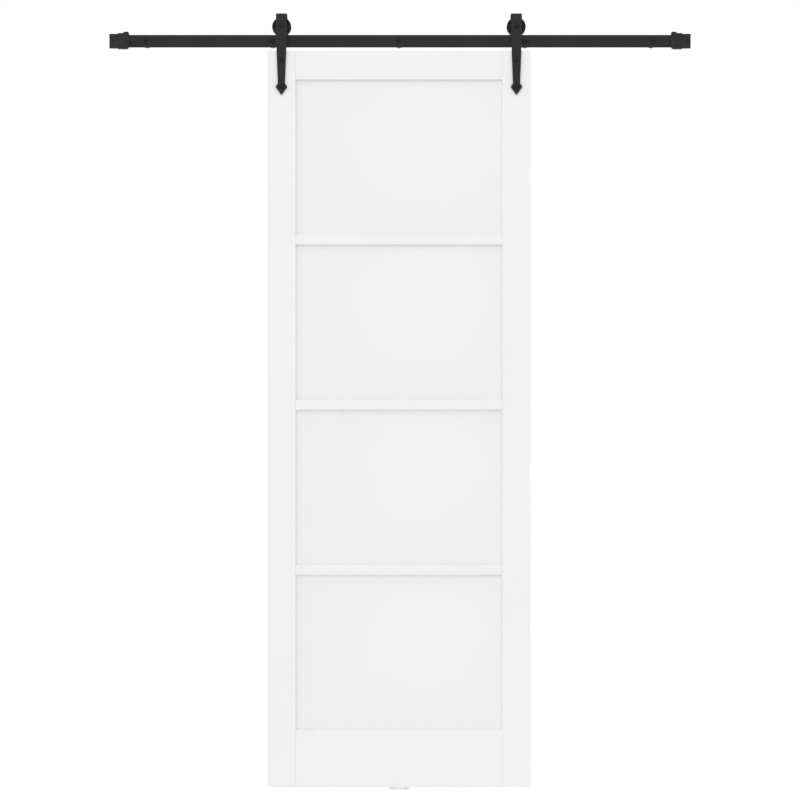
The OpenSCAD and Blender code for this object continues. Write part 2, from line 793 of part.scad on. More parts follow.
track_bar();
wall_spacers();
wall_bolts();
stop_sleeve(LEFT);  // stop_sleeve_left
stop_sleeve(RIGHT);  // stop_sleeve_right
stop_collar(LEFT);  // stop_collar_left
stop_collar(RIGHT);  // stop_collar_right
stop_bumper(LEFT);  // stop_bumper_left
stop_bumper(RIGHT);  // stop_bumper_right
stop_screws();
floor_guide();
floor_guide_screws();
stile(LEFT);  // stile_left
stile(RIGHT);  // stile_right
top_rail();
glazing_bar(1);  // glazing_bar_1
glazing_bar(2);  // glazing_bar_2
glazing_bar(3);  // glazing_bar_3
bottom_rail();
rail_dowels();
glass_pane(1);  // glass_pane_1
glass_pane(2);  // glass_pane_2
glass_pane(3);  // glass_pane_3
glass_pane(4);  // glass_pane_4
beads_upright();
beads_level();
setting_blocks();
hanger(LEFT);  // hanger_left
hanger(RIGHT);  // hanger_right
axle_bolt(LEFT);  // axle_bolt_left
axle_bolt(RIGHT);  // axle_bolt_right
axle_nut(LEFT);  // axle_nut_left
axle_nut(RIGHT);  // axle_nut_right
axle_bushes(LEFT);  // axle_bushes_left
axle_bushes(RIGHT);  // axle_bushes_right
bearing_inner(LEFT);  // bearing_inner_left
bearing_inner(RIGHT);  // bearing_inner_right
leaf_bolts();
leaf_washers();
leaf_nuts();
anti_jump_disc(LEFT);  // anti_jump_disc_left
anti_jump_disc(RIGHT);  // anti_jump_disc_right
anti_jump_screws();
wheel(LEFT);  // wheel_left
bearing_outer(LEFT);  // bearing_outer_left
bearing_balls(LEFT);  // bearing_balls_left
bearing_shields(LEFT);  // bearing_shields_left
circlip(LEFT);  // circlip_left
wheel(RIGHT);  // wheel_right
bearing_outer(RIGHT);  // bearing_outer_right
bearing_balls(RIGHT);  // bearing_balls_right
bearing_shields(RIGHT);  // bearing_shields_right
circlip(RIGHT);  // circlip_right
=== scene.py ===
import math

import bmesh
import bpy
from mathutils import Matrix, Vector


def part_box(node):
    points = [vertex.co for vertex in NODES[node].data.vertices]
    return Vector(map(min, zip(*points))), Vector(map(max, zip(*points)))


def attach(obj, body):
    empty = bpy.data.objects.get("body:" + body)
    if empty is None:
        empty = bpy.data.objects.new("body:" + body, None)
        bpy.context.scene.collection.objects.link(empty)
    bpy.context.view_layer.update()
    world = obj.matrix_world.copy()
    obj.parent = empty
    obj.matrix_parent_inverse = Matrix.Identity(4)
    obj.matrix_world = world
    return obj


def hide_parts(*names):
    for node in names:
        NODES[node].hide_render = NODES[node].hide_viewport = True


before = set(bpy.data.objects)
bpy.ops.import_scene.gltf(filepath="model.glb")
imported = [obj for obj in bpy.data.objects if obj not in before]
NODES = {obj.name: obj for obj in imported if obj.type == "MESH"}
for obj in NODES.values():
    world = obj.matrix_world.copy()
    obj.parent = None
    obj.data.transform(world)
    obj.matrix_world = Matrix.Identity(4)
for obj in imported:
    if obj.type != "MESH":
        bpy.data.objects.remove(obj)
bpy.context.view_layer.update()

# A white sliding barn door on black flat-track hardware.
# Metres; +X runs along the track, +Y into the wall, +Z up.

MM = 0.001

# ---- Places and sizes from the frame ----

LEAF_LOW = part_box("stile_left")[0]
LEAF_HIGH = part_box("stile_right")[1]
LEAF_MIDDLE = (LEAF_LOW + LEAF_HIGH) / 2
FLOOR_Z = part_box("floor_guide")[0].z
SIDES = ("left", "right")


def middle(node):
    """The middle of a node's box."""
    low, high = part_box(node)
    return (low + high) / 2


AXLES = {side: middle(f"wheel_{side}") for side in SIDES}

# ---- Sizes of the detailed pieces ----

SEGMENTS = 48
SHARP_ANGLE = 35            # degrees; flatter edges are shaded smooth
SAME_POINT = 1e-7           # vertices of a made mesh that are this close become one
LOBE_WAVE = 0.14            # how far the lobes of a drive recess swing, as a share of its size
THREAD_STEPS = 8            # rings in one turn of a thread
THREAD_FLANK = 2.6          # how steeply a thread falls from its crest to its root
FULL_AT_ONCE = 0.01         # turns until a thread that carries on from another is at full depth
M8_PITCH = 1.25 * MM
M8_THREAD_DEPTH = 0.6 * MM
LAG_PITCH = 3.2 * MM
LAG_THREAD_DEPTH = 0.85 * MM
WOOD_SCREW_PITCH = 1.8 * MM
WOOD_SCREW_THREAD_DEPTH = 0.45 * MM
EASE = 0.25 * MM            # small rounded edge on turned and pressed parts

# ---- Mesh helpers ----


def hexagon(across_flats):
    """A radius for each angle that draws a hexagon."""
    def radius(angle):
        turn = (angle + math.pi / 6) % (math.pi / 3) - math.pi / 6
        return across_flats / 2 / math.cos(turn)
    return radius


def corner_radius(across_flats):
    """How far a hexagon's corners stand from its middle."""
    return across_flats / 2 / math.cos(math.pi / 6)


def six_lobes(size):
    """A radius for each angle that draws a six-lobed drive recess."""
    def radius(angle):
        return size * (1 - LOBE_WAVE + LOBE_WAVE * math.cos(6 * angle))
    return radius


def no_wider(shape, limit):
    """A radius function cut back to a circle, as the chamfer on a nut cuts its corners."""
    def radius(angle):
        return min(shape(angle), limit)
    return radius


def radius_at(shape, angle):
    return shape(angle) if callable(shape) else shape


def skin(mesh, rings, place, closed=False, segments=SEGMENTS):
    """Joins rings round +Z into a skin. A ring is (distance along Z, radius or radius function)."""
    loops = []
    for distance, shape in rings:
        if shape == 0:
            loops.append([mesh.verts.new(place @ Vector((0, 0, distance)))])
            continue
        loop = []
        for i in range(segments):
            angle = 2 * math.pi * i / segments
            r = radius_at(shape, angle)
            point = Vector((r * math.cos(angle), r * math.sin(angle), distance))
            loop.append(mesh.verts.new(place @ point))
        loops.append(loop)
    pairs = list(zip(loops, loops[1:]))
    if closed:
        pairs.append((loops[-1], loops[0]))
    for low, high in pairs:
        for i in range(segments):
            j = (i + 1) % segments
            if len(low) == 1:
                corners = (low[0], high[j], high[i])
            elif len(high) == 1:
                corners = (low[i], low[j], high[0])
            else:
                corners = (low[i], low[j], high[j], high[i])
            mesh.faces.new(corners)


def arc(centre, radius, start, end, steps):
    """Rings along an arc in the plane of distance and radius; angles in degrees, from +distance."""
    rings = []
    for i in range(steps + 1):
        a = math.radians(start + (end - start) * i / steps)
        rings.append((centre[0] + radius * math.cos(a), centre[1] + radius * math.sin(a)))
    return rings


def thread(start, length, pitch, depth, outer, end_outer=None, run_in=0.5):
    """Rings of a right-handed screw thread that starts shallow and tapers from outer to end_outer."""
    end_outer = outer if end_outer is None else end_outer
    count = max(2, round(length / pitch * THREAD_STEPS))
    rings = []
    for k in range(count + 1):
        along = length * k / count
        crest = outer + (end_outer - outer) * k / count
        deep = depth * crest / outer * min(1.0, along / (run_in * pitch))

        def radius(angle, along=along, crest=crest, deep=deep):
            phase = (along / pitch - angle / (2 * math.pi)) % 1.0
            return crest - deep * min(1.0, THREAD_FLANK * min(phase, 1 - phase))
        rings.append((start + along, radius))
    return rings


def into_wall(point):
    """Stands +Z on a point, pointing along +Y."""
    return Matrix.Translation(point) @ Matrix.Rotation(math.radians(-90), 4, "X")


def downward(point):
    """Stands +Z on a point, pointing down."""
    return Matrix.Translation(point) @ Matrix.Rotation(math.radians(180), 4, "X")


def make_piece(name, body, mesh, material, replaces=()):
    """Turns a bmesh into a piece that rides on a body, shaded smooth up to an angle."""
    bmesh.ops.remove_doubles(mesh, verts=mesh.verts, dist=SAME_POINT)
    bmesh.ops.recalc_face_normals(mesh, faces=mesh.faces)
    data = bpy.data.meshes.new(name)
    mesh.to_mesh(data)
    mesh.free()
    data.shade_smooth()
    data.set_sharp_from_angle(angle=math.radians(SHARP_ANGLE))
    piece = bpy.data.objects.new(name, data)
    bpy.context.scene.collection.objects.link(piece)
    data.materials.append(material)
    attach(piece, body)
    if replaces:
        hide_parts(*replaces)
    return piece


# ---- Node helpers ----


class Shading:
    """A material's node tree, with short calls for the nodes used here."""

    def __init__(self, name):
        self.material = bpy.data.materials.new(name)
        self.material.use_nodes = True
        self.tree = self.material.node_tree
        self.shader = self.tree.nodes["Principled BSDF"]
        self.place = self.tree.nodes.new("ShaderNodeTexCoord").outputs["Object"]

    def add(self, kind, **inputs):
        node = self.tree.nodes.new(kind)
        for key, value in inputs.items():
            self.feed(node.inputs[key.replace("_", " ")], value)
        return node

    def feed(self, socket, value):
        if isinstance(value, bpy.types.NodeSocket):
            self.tree.links.new(value, socket)
        else:
            socket.default_value = value

    def stretched(self, scale):
        return self.add("ShaderNodeMapping", Vector=self.place, Scale=scale).outputs["Vector"]

    def noise(self, scale, detail=3.0, roughness=0.5, place=None):
        place = self.place if place is None else place
        node = self.add("ShaderNodeTexNoise", Vector=place, Scale=scale, Detail=detail, Roughness=roughness)
        return node.outputs["Fac"]

    def remap(self, value, low, high, out_low, out_high):
        node = self.add("ShaderNodeMapRange", Value=value)
        node.interpolation_type = "SMOOTHSTEP"
        limits = {"From Min": low, "From Max": high, "To Min": out_low, "To Max": out_high}
        for key, number in limits.items():
            node.inputs[key].default_value = number
        return node.outputs["Result"]

    def math(self, operation, a, b=0.0):
        node = self.tree.nodes.new("ShaderNodeMath")
        node.operation = operation
        self.feed(node.inputs[0], a)
        self.feed(node.inputs[1], b)
        return node.outputs["Value"]

    def blend(self, factor, first, second):
        node = self.tree.nodes.new("ShaderNodeMix")
        node.data_type = "RGBA"
        self.feed(node.inputs[0], factor)
        self.feed(node.inputs[6], first)
        self.feed(node.inputs[7], second)
        return node.outputs[2]

    def bump(self, height, depth, below=None):
        node = self.add("ShaderNodeBump", Height=height, Distance=depth)
        node.inputs["Strength"].default_value = 1.0
        if below is not None:
            self.feed(node.inputs["Normal"], below)
        return node.outputs["Normal"]

    def edges(self, width):
        """1 on edges, 0 on flat faces: how far a rounded normal turns away from the true one."""
        soft = self.add("ShaderNodeBevel", Radius=width)
        soft.samples = 6
        true = self.tree.nodes.new("ShaderNodeNewGeometry").outputs["Normal"]
        dot = self.tree.nodes.new("ShaderNodeVectorMath")
        dot.operation = "DOT_PRODUCT"
        self.feed(dot.inputs[0], soft.outputs["Normal"])
        self.feed(dot.inputs[1], true)
        return self.remap(dot.outputs["Value"], 0.995, 0.80, 0.0, 1.0)

    def finish(self, colour, roughness, normal, **constants):
        self.feed(self.shader.inputs["Base Color"], colour)
        self.feed(self.shader.inputs["Roughness"], roughness)
        self.feed(self.shader.inputs["Normal"], normal)
        for key, value in constants.items():
            self.shader.inputs[key.replace("_", " ")].default_value = value
        return self.material


def grey(value, tint=(0, 0, 0)):
    return (value + tint[0], value + tint[1], value + tint[2], 1.0)


# ---- Materials ----


def powder_coat(name, shade):
    """Satin black powder coat: fine orange peel, faint clouds and slightly rubbed edges."""
    s = Shading(name)
    clouds = s.remap(s.noise(9, 4), 0.35, 0.65, 0.0, 1.0)
    rubbed = s.math("MULTIPLY", s.edges(0.7 * MM), s.remap(s.noise(55, 5), 0.42, 0.68, 0.0, 0.75))
    coat = s.blend(clouds, grey(shade * 0.88), grey(shade * 1.12))
    colour = s.blend(rubbed, coat, grey(shade * 2.0, (0.001, 0.0005, 0)))
    roughness = s.remap(s.noise(38, 4), 0.3, 0.7, 0.40, 0.50)
    peel = s.bump(s.noise(760, 2), 0.035 * MM, s.bump(s.noise(150, 2), 0.05 * MM))
    return s.finish(colour, roughness, peel, Specular_IOR_Level=0.31)


def track_coat(name, shade):
    """The same coat on the bar, with its top edge burnished where the wheels roll."""
    s = Shading(name)
    facing = s.tree.nodes.new("ShaderNodeNewGeometry").outputs["Normal"]
    split = s.add("ShaderNodeSeparateXYZ", Vector=facing)
    high = s.remap(split.outputs["Z"], 0.82, 0.97, 0.0, 1.0)
    streaks = s.remap(s.noise(1, 4, 0.6, s.stretched((14, 900, 900))), 0.35, 0.62, 0.15, 1.0)
    rolled = s.math("MULTIPLY", high, streaks)
    rubbed = s.math("MULTIPLY", s.edges(0.6 * MM), s.remap(s.noise(48, 5), 0.45, 0.7, 0.0, 0.6))
    clouds = s.remap(s.noise(7, 4), 0.35, 0.65, 0.0, 1.0)
    coat = s.blend(clouds, grey(shade * 0.9), grey(shade * 1.1))
    worn = s.blend(rubbed, coat, grey(shade * 2.0))
    colour = s.blend(rolled, worn, grey(0.055, (0.002, 0.001, 0)))
    satin = s.remap(s.noise(30, 4), 0.3, 0.7, 0.42, 0.52)
    roughness = s.math("SUBTRACT", satin, s.math("MULTIPLY", rolled, 0.16))
    peel = s.bump(s.noise(760, 2), 0.035 * MM, s.bump(s.noise(120, 2), 0.05 * MM))
    return s.finish(colour, roughness, peel, Specular_IOR_Level=0.30)


def blackened_bolt(name):
    """Black oxide on turned steel, a little darker and bluer than the powder coat."""
    s = Shading(name)
    rubbed = s.math("MULTIPLY", s.edges(0.4 * MM), s.remap(s.noise(260, 4), 0.4, 0.65, 0.0, 0.9))
    body = s.blend(s.noise(120, 4), grey(0.004, (0, 0, 0.0006)), grey(0.008, (0, 0, 0.001)))
    colour = s.blend(rubbed, body, grey(0.045))
    roughness = s.remap(s.noise(210, 4), 0.3, 0.7, 0.38, 0.54)
    return s.finish(colour, roughness, s.bump(s.noise(1400, 2), 0.012 * MM), Specular_IOR_Level=0.26)


def moulded(name, dark, light, rough, level, clear=0.0):
    """Moulded nylon, finely textured and faintly clouded; clear is how much light goes through."""
    s = Shading(name)
    flow = s.remap(s.noise(34, 4, 0.6), 0.35, 0.65, 0.0, 1.0)
    roughness = s.remap(s.noise(90, 4), 0.3, 0.7, rough - 0.06, rough + 0.06)
    grain = s.bump(s.noise(1900, 2), 0.02 * MM, s.bump(s.noise(220, 3), 0.03 * MM))
    colour = s.blend(flow, dark, light)
    return s.finish(colour, roughness, grain, Specular_IOR_Level=level, Transmission_Weight=clear)


def rubber(name):
    """Dull black rubber with a dusty bloom and fine pits."""
    s = Shading(name)
    bloom = s.remap(s.noise(60, 5, 0.65), 0.45, 0.75, 0.0, 1.0)
    pits = s.remap(s.noise(1100, 2), 0.25, 0.45, 0.0, 1.0)
    colour = s.blend(bloom, grey(0.017), grey(0.028))
    roughness = s.remap(s.noise(140, 3), 0.3, 0.7, 0.66, 0.80)
    return s.finish(colour, roughness, s.bump(pits, 0.03 * MM), Specular_IOR_Level=0.28)


def painted_wood(name, grain_scale):
    """White lacquer over timber: the grain is only the faintest shade and relief along the piece."""
    s = Shading(name)
    along = s.stretched(grain_scale)
    fibre = s.noise(1, 5, 0.62, along)
    clouds = s.remap(s.noise(2.2, 3), 0.3, 0.7, 0.0, 1.0)
    paint = s.blend(clouds, grey(0.862, (0, 0, -0.004)), grey(0.878, (0, 0, -0.003)))
    lines = s.remap(fibre, 0.55, 0.75, 0.0, 0.5)
    colour = s.blend(lines, paint, grey(0.846, (0, 0, -0.006)))
    roughness = s.remap(s.noise(26, 4), 0.3, 0.7, 0.36, 0.46)
    relief = s.bump(fibre, 0.05 * MM, s.bump(s.noise(420, 2), 0.02 * MM))
    return s.finish(colour, roughness, relief, Specular_IOR_Level=0.42)


def opal_glass(name):
    """Milk-white satin glass with slow waves and a painted reflection above and right of a pane's middle.
    """
    s = Shading(name)
    pane = s.tree.nodes.new("ShaderNodeTexCoord").outputs["Generated"]
    # painted reflection: a soft lighter patch centred right of and above each pane's middle, put into the
    # colour
    painted_reflection_spot = s.add("ShaderNodeMapping", Vector=pane, Location=(-0.62, 0.0, -0.55), Scale=(1.0, 0.0, 0.9))
    reach = s.tree.nodes.new("ShaderNodeVectorMath")
    reach.operation = "LENGTH"
    s.feed(reach.inputs[0], painted_reflection_spot.outputs["Vector"])
    wander = s.math("MULTIPLY", s.noise(3.4, 3), 0.26)
    # light is the strength of the painted reflection, 1 at its centre and 0 outside it
    light = s.remap(s.math("ADD", reach.outputs["Value"], wander), 0.24, 0.56, 1.0, 0.0)
    colour = s.blend(light, (0.850, 0.854, 0.851, 1), (0.876, 0.879, 0.876, 1))
    roughness = s.remap(s.noise(18, 3), 0.3, 0.7, 0.24, 0.32)
    waves = s.bump(s.noise(1400, 2), 0.006 * MM, s.bump(s.noise(5.5, 2), 0.10 * MM))
    return s.finish(colour, roughness, waves, Specular_IOR_Level=0.40)


def painted_screw(name):
    """White paint baked on a screw, worn to a greyer white on its edges."""
    s = Shading(name)
    worn = s.math("MULTIPLY", s.edges(0.3 * MM), s.remap(s.noise(300, 4), 0.45, 0.7, 0.0, 0.6))
    paint = s.blend(s.noise(150, 3), grey(0.87), grey(0.90))
    colour = s.blend(worn, paint, (0.62, 0.63, 0.63, 1))
    roughness = s.remap(s.noise(240, 3), 0.3, 0.7, 0.34, 0.46)
    return s.finish(colour, roughness, s.bump(s.noise(900, 2), 0.01 * MM), Specular_IOR_Level=0.42)


def zinc(name):
    """Bright zinc plate, slightly mottled."""
    s = Shading(name)
    mottle = s.remap(s.noise(240, 5, 0.6), 0.3, 0.7, 0.0, 1.0)
    rubbed = s.math("MULTIPLY", s.edges(0.35 * MM), 0.5)
    body = s.blend(mottle, (0.47, 0.49, 0.50, 1), (0.62, 0.63, 0.62, 1))
    colour = s.blend(rubbed, body, (0.74, 0.75, 0.75, 1))
    roughness = s.remap(s.noise(320, 4), 0.3, 0.7, 0.28, 0.44)
    return s.finish(colour, roughness, s.bump(s.noise(900, 3), 0.012 * MM), Metallic=1.0)


def turned_steel(name):
    """Ground bearing steel, with fine lines that run round the axle."""
    s = Shading(name)
    split = s.add("ShaderNodeSeparateXYZ", Vector=s.place)
    across = s.math("SUBTRACT", s.math("ABSOLUTE", split.outputs["X"]), abs(AXLES["right"].x))
    up = s.math("SUBTRACT", split.outputs["Z"], AXLES["right"].z)
    ring = s.math("SQRT", s.math("ADD", s.math("MULTIPLY", across, across), s.math("MULTIPLY", up, up)))
    radial = s.add("ShaderNodeCombineXYZ", X=ring).outputs["Vector"]
    lines = s.noise(5200, 2.0, place=radial)
    colour = s.blend(lines, (0.55, 0.56, 0.58, 1), (0.70, 0.71, 0.73, 1))
    roughness = s.remap(lines, 0.3, 0.7, 0.18, 0.32)
    return s.finish(colour, roughness, s.bump(lines, 0.004 * MM), Metallic=1.0)


def beech(name):
    """Bare beech with its grain along X and short darker flecks."""
    s = Shading(name)
    fibre = s.noise(1, 5, 0.6, s.stretched((30, 900, 900)))
    flecks = s.remap(s.noise(1, 2, 0.5, s.stretched((160, 1500, 1500))), 0.62, 0.72, 0.0, 0.6)
    wood = s.blend(fibre, (0.56, 0.38, 0.21, 1), (0.70, 0.52, 0.33, 1))
    colour = s.blend(flecks, wood, (0.36, 0.21, 0.10, 1))
    return s.finish(colour, s.remap(fibre, 0.3, 0.7, 0.55, 0.7), s.bump(fibre, 0.05 * MM))


COAT = powder_coat("black_powder_coat", 0.0080)
TRACK_COAT = track_coat("black_track_coat", 0.0080)
BOLT_BLACK = blackened_bolt("blackened_steel")
NYLON = moulded("black_nylon", grey(0.0065), grey(0.0105), 0.52, 0.27)
NYLON_WHITE = moulded("natural_nylon", (0.97, 0.97, 0.965, 1), (0.99, 0.99, 0.985, 1), 0.36, 0.30, 0.95)
RUBBER = rubber("bumper_rubber")
PAINT_UPRIGHT = painted_wood("white_paint_upright", (130, 130, 3.2))
PAINT_LEVEL = painted_wood("white_paint_level", (3.2, 130, 130))
GLASS = opal_glass("milk_glass")
PAINTED_SCREW = painted_screw("white_painted_screw")
ZINC = zinc("zinc_plate")
STEEL = turned_steel("bearing_steel")
BEECH = beech("beech_timber")

# ---- CAD nodes that keep their shape: material and eased edges ----

LOOKS = {
    "track_bar": (TRACK_COAT, 0.4), "wall_spacers": (COAT, 0.35), "stop_screws": (BOLT_BLACK, 0.12),
    "floor_guide": (NYLON_WHITE, 0.3),
    "stile_left": (PAINT_UPRIGHT, 0.3), "stile_right": (PAINT_UPRIGHT, 0.3),
    "top_rail": (PAINT_LEVEL, 0.3), "bottom_rail": (PAINT_LEVEL, 0.3), "rail_dowels": (BEECH, 0.3),
    "beads_upright": (PAINT_UPRIGHT, 0.35), "beads_level": (PAINT_LEVEL, 0.35),
    "setting_blocks": (NYLON, 0.3), "leaf_washers": (ZINC, 0.25),
}
for side in SIDES:
    LOOKS[f"stop_sleeve_{side}"] = (COAT, 0.45)
    LOOKS[f"stop_collar_{side}"] = (COAT, 0.45)
    LOOKS[f"stop_bumper_{side}"] = (RUBBER, 0.9)
    LOOKS[f"hanger_{side}"] = (COAT, 0.6)
    LOOKS[f"axle_bushes_{side}"] = (ZINC, 0.2)
    LOOKS[f"anti_jump_disc_{side}"] = (NYLON, 0.6)
    LOOKS[f"circlip_{side}"] = (STEEL, 0.1)
    for ring in ("inner", "outer", "balls", "shields"):
        LOOKS[f"bearing_{ring}_{side}"] = (STEEL, 0.0 if ring == "balls" else 0.1)
for number in (1, 2, 3):
    LOOKS[f"glazing_bar_{number}"] = (PAINT_LEVEL, 0.5)
for number in (1, 2, 3, 4):
    LOOKS[f"glass_pane_{number}"] = (GLASS, 0.3)


WELD_DISTANCE = 1e-6        # vertices of a CAD mesh that are this close become one
EASE_STEPS = 3
EASE_ANGLE = 32             # degrees; only sharper edges are rounded


def dress(node, material, ease):
    """Gives a CAD node its material, and rounds its edges by ease millimetres."""
    piece = NODES[node]
    for slot in piece.material_slots:
        slot.material = material
    weld = piece.modifiers.new("weld", "WELD")
    weld.merge_threshold = WELD_DISTANCE
    if ease:
        bevel = piece.modifiers.new("ease", "BEVEL")
        bevel.width = ease * MM
        bevel.segments = EASE_STEPS
        bevel.limit_method = "ANGLE"
        bevel.angle_limit = math.radians(EASE_ANGLE)
        bevel.use_clamp_overlap = True
        bevel.harden_normals = True


for node, (material, ease) in LOOKS.items():
    dress(node, material, ease)

# ---- Bolts, nuts and screws ----

HEAD_R = 8.0 * MM
HEAD_H = 4.4 * MM
SOCKET_AF = 5.0 * MM
SOCKET_DEPTH = 2.6 * MM
SOCKET_CONE = 0.6 * MM      # the drill point under the socket
BOLT_R = 3.97 * MM
THREADED_L = 16.0 * MM
BOLT_POINT_L = 0.8 * MM
DOME_STEPS = 10


def domed_bolt(mesh, place, length):
    """A button-head bolt: hexagon socket, dome, plain shank and threaded end."""
    dome_r = (HEAD_R ** 2 + HEAD_H ** 2) / (2 * HEAD_H)
    top = -HEAD_H
    socket = hexagon(SOCKET_AF)
    mouth = corner_radius(SOCKET_AF) + 2 * EASE
    floor = top + SOCKET_DEPTH
    rings = [(floor + SOCKET_CONE, 0), (floor, socket), (top + 2 * EASE, socket)]
    first = math.asin(mouth / dome_r)
    last = math.asin(HEAD_R / dome_r)
    for i in range(DOME_STEPS + 1):
        a = first + (last - first) * i / DOME_STEPS
        rings.append((top + dome_r * (1 - math.cos(a)), dome_r * math.sin(a)))
    rings += [(0, HEAD_R), (0, BOLT_R + EASE), (EASE, BOLT_R)]
    start = length - THREADED_L
    rings.append((start - EASE, BOLT_R))
    rings += thread(start, THREADED_L - BOLT_POINT_L, M8_PITCH, M8_THREAD_DEPTH, BOLT_R)
    rings += [(length - BOLT_POINT_L / 2, BOLT_R - M8_THREAD_DEPTH),
              (length, BOLT_R - 2 * M8_THREAD_DEPTH), (length, 0)]
    skin(mesh, rings, place)


def corner_points(node, head_r, y):
    """Where the four bolts of a node stand at depth y, from its box and their heads' radius."""
    low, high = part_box(node)
    return [Vector((x, y, z)) for x in (low.x + head_r, high.x - head_r)
            for z in (low.z + head_r, high.z - head_r)]


STRAP_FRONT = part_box("hanger_left")[0].y


def leaf_bolts():
    mesh = bmesh.new()
    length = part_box("leaf_bolts")[1].y - STRAP_FRONT
    for point in corner_points("leaf_bolts", HEAD_R, STRAP_FRONT):
        domed_bolt(mesh, into_wall(point), length)
    make_piece("leaf_bolts_threaded", "leaf", mesh, BOLT_BLACK, ["leaf_bolts"])


def axle_bolt(side):
    mesh = bmesh.new()
    node = f"axle_bolt_{side}"
    point = Vector((AXLES[side].x, STRAP_FRONT, AXLES[side].z))
    domed_bolt(mesh, into_wall(point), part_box(node)[1].y - STRAP_FRONT)
    make_piece(f"{node}_threaded", "leaf", mesh, BOLT_BLACK, [node])


NUT_AF = 13.0 * MM
NUT_CROWN = 0.4 * MM
NUT_BORE = 4.0 * MM
CHAMFER_SLOPE = 0.62        # depth of a nut's chamfer for each part of its width
CHAMFER_STEPS = 5


def nut_rings(height, crowned_back):
    """The rings of a hexagon nut, chamfered on its outer face and, if asked, on its back."""
    shape = hexagon(NUT_AF)
    crown = NUT_AF / 2 + NUT_CROWN
    corner = corner_radius(NUT_AF)
    cut = (corner - crown) * CHAMFER_SLOPE
    rings = [(EASE, NUT_BORE), (0, NUT_BORE + EASE)]
    if crowned_back:
        for i in range(CHAMFER_STEPS + 1):
            share = i / CHAMFER_STEPS
            rings.append((share * cut, no_wider(shape, crown + (corner - crown) * share)))
    else:
        rings.append((0, shape))
    for i in range(CHAMFER_STEPS + 1):
        share = i / CHAMFER_STEPS
        rings.append((height - cut + share * cut, no_wider(shape, corner - (corner - crown) * share)))
    return rings


def leaf_nuts():
    mesh = bmesh.new()
    low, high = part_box("leaf_nuts")
    corner = corner_radius(NUT_AF)
    height = high.y - low.y
    for x in (low.x + corner, high.x - corner):
        for z in (low.z + NUT_AF / 2, high.z - NUT_AF / 2):
            rings = nut_rings(height, True)
            rings += [(height, NUT_BORE + EASE), (height - EASE, NUT_BORE)]
            skin(mesh, rings, into_wall(Vector((x, low.y, z))), closed=True)
    make_piece("leaf_nuts_chamfered", "leaf", mesh, ZINC, ["leaf_nuts"])


LOCK_COLLAR_H = 1.9 * MM
LOCK_COLLAR_R = 6.1 * MM
COLLAR_ROUND = 0.8 * MM
COLLAR_STEPS = 5
INSERT_R = 5.0 * MM
INSERT_GAP = 0.02 * MM      # round the nylon ring and under it
INSERT_SUNK = 0.3 * MM      # the nylon ring below the collar's rim
THREAD_GAP = 0.03 * MM      # left between a thread and the piece round it


def axle_nut(side):
    """A lock nut: a hexagon with a rolled collar that holds a nylon ring."""
    node = f"axle_nut_{side}"
    low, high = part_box(node)
    height = high.y - low.y
    base = height - LOCK_COLLAR_H
    place = into_wall(Vector((AXLES[side].x, low.y, AXLES[side].z)))
    mesh = bmesh.new()
    rings = nut_rings(base, False)
    rings += [(base, LOCK_COLLAR_R + EASE), (base + EASE, LOCK_COLLAR_R)]
    rings += arc((height - COLLAR_ROUND, LOCK_COLLAR_R - COLLAR_ROUND), COLLAR_ROUND, 90, 0,
                 COLLAR_STEPS)
    rings += [(height, INSERT_R + EASE), (height - EASE, INSERT_R), (base, INSERT_R), (base, NUT_BORE)]
    skin(mesh, rings, place, closed=True)
    make_piece(f"{node}_collared", "leaf", mesh, ZINC, [node])
    ring = bmesh.new()
    low_end = base + INSERT_GAP
    top = height - INSERT_SUNK
    bore = BOLT_R + THREAD_GAP
    rim = INSERT_R - INSERT_GAP
    skin(ring, [(low_end, bore), (low_end, rim), (top - EASE, rim), (top, INSERT_R - EASE),
                (top, bore + EASE), (top - EASE, bore)], place, closed=True)
    make_piece(f"{node}_nylon_ring", "leaf", ring, NYLON_WHITE)


LAG_HEAD_R = 8.0 * MM
LAG_SHANK_R = 3.5 * MM
LAG_THREAD_R = 4.0 * MM
LAG_THREAD_L = 45.0 * MM
LAG_POINT_R = 0.6 * MM
LAG_SOCKET_AF = 6.0 * MM
LAG_SOCKET_DEPTH = 3.0 * MM
LAG_SOCKET_CONE = 0.8 * MM
FIXINGS = 5


def wall_bolts():
    """Countersunk lag bolts: hexagon socket, cone, plain shank and a coarse thread in the wall."""
    mesh = bmesh.new()
    low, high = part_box("wall_bolts")
    length = high.y - low.y
    shank_l = -low.y
    socket = hexagon(LAG_SOCKET_AF)
    mouth = corner_radius(LAG_SOCKET_AF) + EASE
    rings = [(LAG_SOCKET_DEPTH + LAG_SOCKET_CONE, 0), (LAG_SOCKET_DEPTH, socket), (2 * EASE, socket),
             (0, mouth), (0, LAG_HEAD_R - EASE), (0.6 * EASE, LAG_HEAD_R)]
    rings += [(LAG_HEAD_R - LAG_SHANK_R, LAG_SHANK_R), (shank_l - EASE, LAG_SHANK_R),
              (shank_l, LAG_SHANK_R)]
    rings += thread(shank_l, LAG_THREAD_L, LAG_PITCH, LAG_THREAD_DEPTH, LAG_THREAD_R, run_in=1.0)
    tip_l = length - shank_l - LAG_THREAD_L
    tip = thread(shank_l + LAG_THREAD_L, tip_l, LAG_PITCH, LAG_THREAD_DEPTH, LAG_THREAD_R, LAG_POINT_R,
                 FULL_AT_ONCE)
    rings += tip[1:] + [(length, 0)]
    first, last = low.x + LAG_HEAD_R, high.x - LAG_HEAD_R
    for i in range(FIXINGS):
        x = first + (last - first) * i / (FIXINGS - 1)
        skin(mesh, rings, into_wall(Vector((x, low.y, 0))))
    make_piece("wall_bolts_threaded", "rail", mesh, BOLT_BLACK, ["wall_bolts"])


POINT_R = 0.4 * MM
SCREW_SEGMENTS = 36
RECESS_SIZE = 0.52          # of a drive recess, all four as a share of the head's radius
RECESS_DEPTH = 0.50
RECESS_POINT = 0.55
RECESS_MOUTH = 0.58


